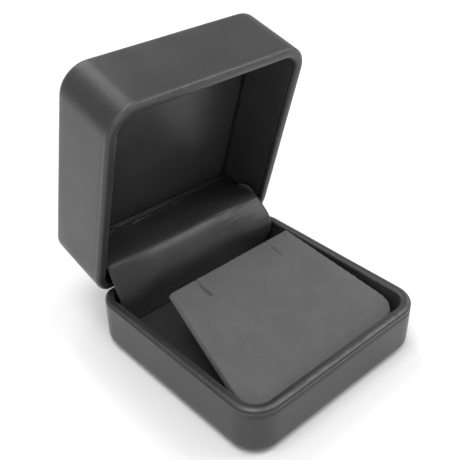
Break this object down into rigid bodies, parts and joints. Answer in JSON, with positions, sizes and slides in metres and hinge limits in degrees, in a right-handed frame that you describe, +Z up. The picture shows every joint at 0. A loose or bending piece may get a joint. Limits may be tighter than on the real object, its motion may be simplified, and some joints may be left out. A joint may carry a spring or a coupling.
{
  "type": "hinged jewelry gift box",
  "caption": "Small square leatherette gift box with a deep hinged lid, a soft flap over the hinge, and a sloped slitted pad for a necklace or pendant.",
  "frame": {"origin": "centre of the resting face under the base, with the box standing open on it", "axes": "+X to the right seen from the front, +Y back towards the hinge, +Z up"},
  "size_m": [0.08, 0.1033, 0.0999],
  "materials": {
    "leatherette": "satin",
    "dark_lining": "satin",
    "flap_leatherette": "satin",
    "microfibre": "matte",
    "foam": "matte",
    "card": "matte",
    "moulded_tray": "matte",
    "plated_steel": "satin",
    "spring_steel": "satin"
  },
  "bodies": {
    "base": {"base_tray": "moulded_tray", "base_wrap": "leatherette", "base_bottom_cover": "leatherette", "base_floor_panel": "dark_lining", "base_wall_lining": "dark_lining", "pad_cover": "microfibre", "pad_foam": "foam", "pad_board": "card", "pad_prop": "card", "lower_hinge_leaf": "plated_steel", "hinge_pin": "plated_steel", "lower_hinge_rivets": "plated_steel", "snap_springs": "spring_steel", "hinge_cover_flap": "flap_leatherette"},
    "lid": {"lid_tray": "moulded_tray", "lid_wrap": "leatherette", "lid_ceiling_board": "card", "lid_ceiling_lining": "dark_lining", "lid_wall_lining": "dark_lining", "upper_hinge_leaf": "plated_steel", "upper_hinge_rivets": "plated_steel"}
  },
  "joints": [
    {"name": "lid_hinge", "type": "hinge", "parent": "base", "child": "lid", "pos_m": [0, 0.0376, 0.0187], "axis": [1, 0, 0], "range_deg": [0, 74.5], "deforming": ["hinge_cover_flap", "snap_springs"]}
  ]
}
